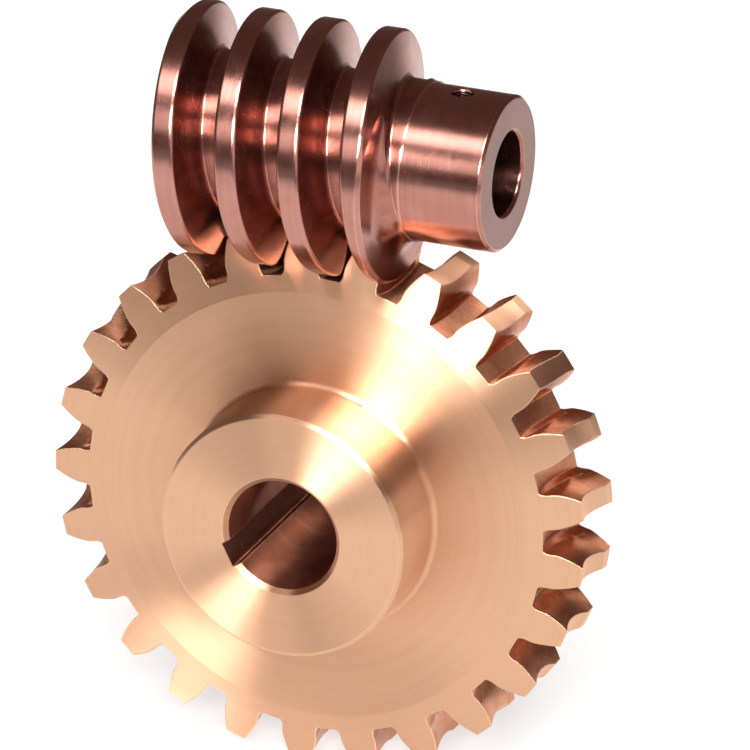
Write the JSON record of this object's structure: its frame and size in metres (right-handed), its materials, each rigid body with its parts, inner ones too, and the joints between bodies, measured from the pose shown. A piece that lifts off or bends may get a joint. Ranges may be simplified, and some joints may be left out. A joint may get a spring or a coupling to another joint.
{
  "type": "worm gear set",
  "caption": "Bronze throated worm wheel with a bored, keyed boss, in mesh with a right-hand worm that has a plain hub and a set screw.",
  "frame": {"origin": "the wheel's axis at the middle of its teeth, in the plane of the worm's axis", "axes": "-Y along the wheel's axis, towards its boss; +X along the worm's axis, towards its hub; +Z from the wheel's axis up to the worm"},
  "size_m": [0.1083, 0.0485, 0.1482],
  "materials": {
    "wheel_bronze": "turned, fine rings on the faces",
    "worm_bronze": "polished thread and hub",
    "screw_steel": "black oxide",
    "shim_steel": "ground"
  },
  "bodies": {
    "fixed_rings": {"wheel_shim_ring": "shim_steel", "worm_shim_ring": "shim_steel"},
    "wheel": {"worm_wheel": "wheel_bronze"},
    "worm_shaft": {"worm": "worm_bronze", "worm_set_screw": "screw_steel"}
  },
  "joints": [
    {"name": "wheel_spin", "type": "hinge", "parent": "fixed_rings", "child": "wheel", "pos_m": [0, 0, 0], "axis": [0, 1, 0], "continuous": true},
    {"name": "worm_spin", "type": "hinge", "parent": "fixed_rings", "child": "worm_shaft", "pos_m": [0, 0, 0.07], "axis": [1, 0, 0], "continuous": true}
  ],
  "couplings": [
    {"joint": "worm_spin", "follows": "wheel_spin", "ratio": -25}
  ]
}
